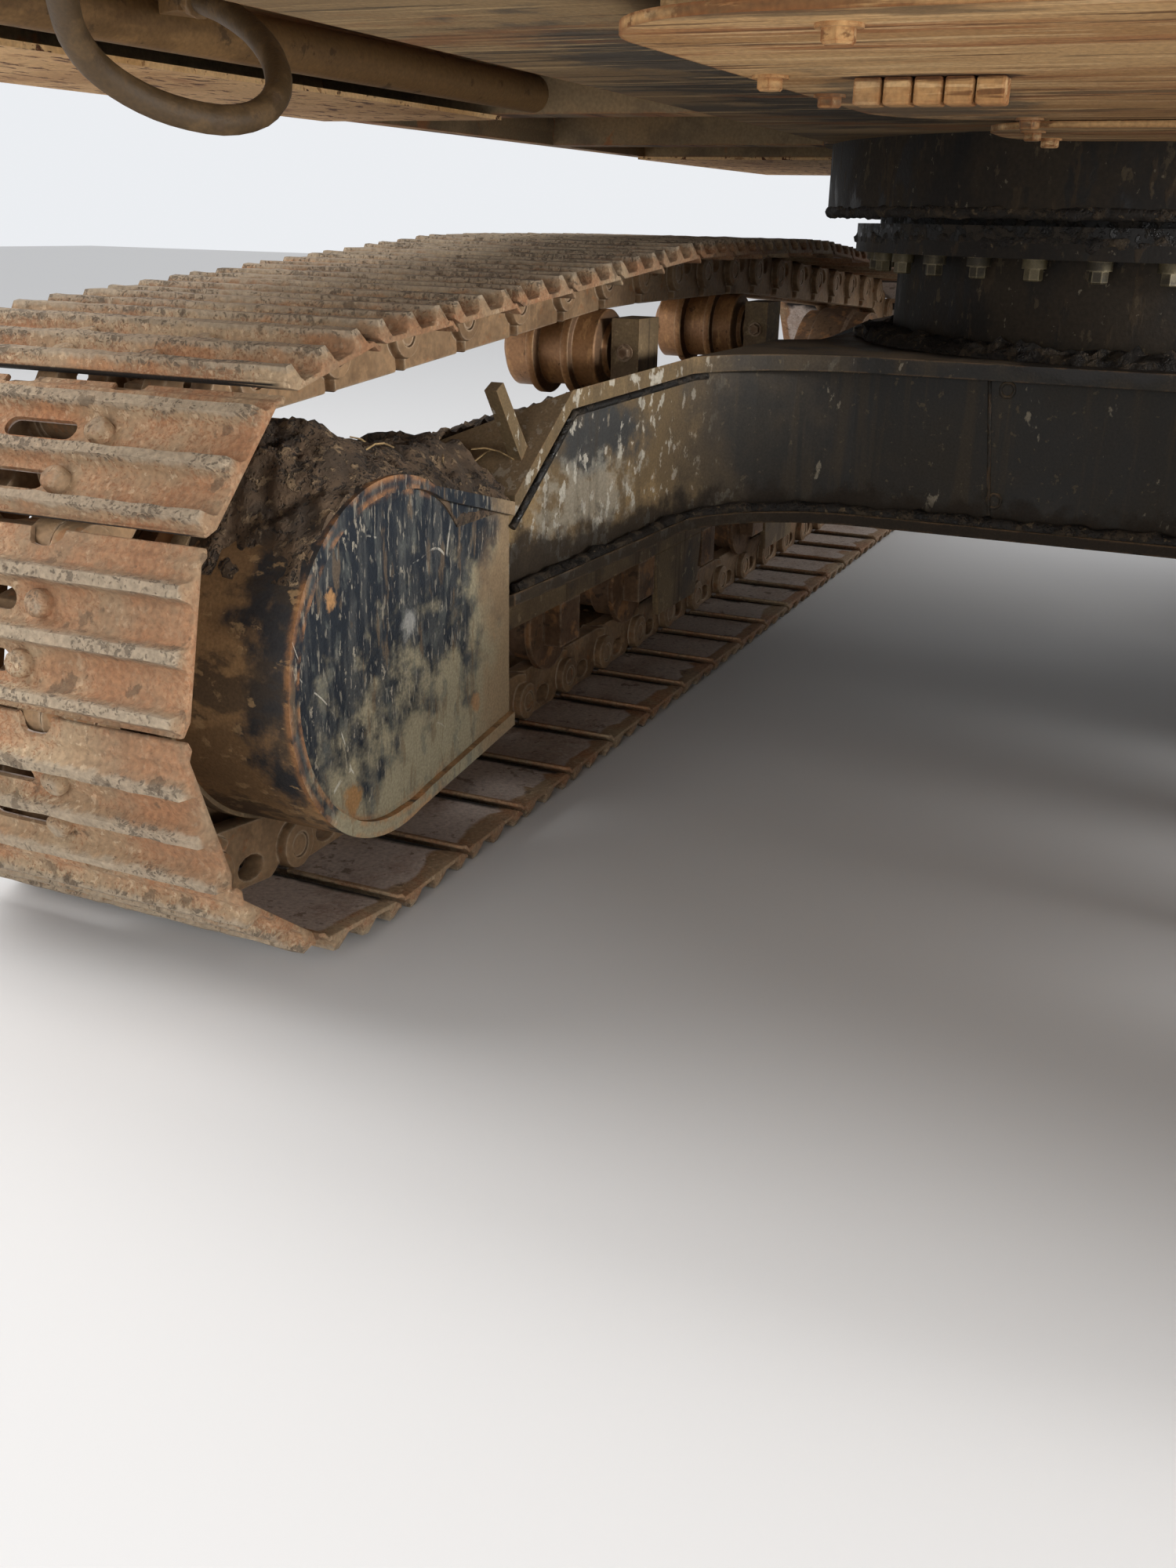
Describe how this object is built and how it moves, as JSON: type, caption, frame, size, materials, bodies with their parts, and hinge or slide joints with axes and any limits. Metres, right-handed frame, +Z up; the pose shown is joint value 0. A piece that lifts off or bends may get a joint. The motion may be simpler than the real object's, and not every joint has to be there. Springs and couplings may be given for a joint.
{
  "type": "crawler excavator undercarriage with slewing platform",
  "caption": "Crawler undercarriage with steel shoe tracks, box carbody and slewing ring, carrying a bare slewing platform with a boom foot bracket.",
  "frame": {"origin": "slewing axis at ground level", "axes": "+X forward, towards the idlers; +Y left; +Z up"},
  "size_m": [4.5556, 2.8, 1.9029],
  "materials": {
    "dusty_black_paint": "black paint under dried mud and dust",
    "scratched_black_paint": "blue-black paint with scratches, rust at its rim and dust below",
    "rusty_shoe_steel": "worn steel with brown rust and dried mud",
    "worn_chain_steel": "forged steel, rusty, polished where it runs",
    "greased_steel": "steel under black grease and dirt",
    "bare_casting": "casting with dust",
    "dirty_ochre_paint": "yellow paint browned by dirt",
    "dusty_rubber": "rubber hose under dust"
  },
  "bodies": {
    "undercarriage": {"carbody": "dusty_black_paint", "ring_drum": "dusty_black_paint", "race_inner": "greased_steel", "swivel_joint": "bare_casting", "track_frame_left": "dusty_black_paint", "track_frame_right": "dusty_black_paint", "track_left": "rusty_shoe_steel", "track_right": "rusty_shoe_steel", "chain_left": "worn_chain_steel", "chain_right": "worn_chain_steel", "sprocket_left": "worn_chain_steel", "sprocket_right": "worn_chain_steel", "final_drive_left": "dusty_black_paint", "final_drive_right": "dusty_black_paint", "motor_guard_left": "scratched_black_paint", "motor_guard_right": "scratched_black_paint", "idler_left": "worn_chain_steel", "idler_right": "worn_chain_steel", "idler_yoke_left": "bare_casting", "idler_yoke_right": "bare_casting", "carrier_rollers_left": "worn_chain_steel", "carrier_rollers_right": "worn_chain_steel", "track_rollers_left": "worn_chain_steel", "track_rollers_right": "worn_chain_steel", "chain_guards_left": "dusty_black_paint", "chain_guards_right": "dusty_black_paint"},
    "platform": {"race_outer": "greased_steel", "ring_skirt": "greased_steel", "centre_plate": "dirty_ochre_paint", "main_webs": "dirty_ochre_paint", "rear_beam": "dirty_ochre_paint", "side_deck_left": "dirty_ochre_paint", "side_deck_right": "dirty_ochre_paint", "belly_cover_rear": "dirty_ochre_paint", "belly_cover_front": "dirty_ochre_paint", "belly_blocks": "dirty_ochre_paint", "side_belly_left": "dirty_ochre_paint", "side_belly_right": "dirty_ochre_paint", "deck_pipe": "dirty_ochre_paint", "swing_drive": "bare_casting", "hose_elbows": "bare_casting", "hanging_hose": "dusty_rubber"}
  },
  "joints": [
    {"name": "slew", "type": "hinge", "parent": "undercarriage", "child": "platform", "pos_m": [0, 0, 1], "axis": [0, 0, 1], "continuous": true}
  ]
}
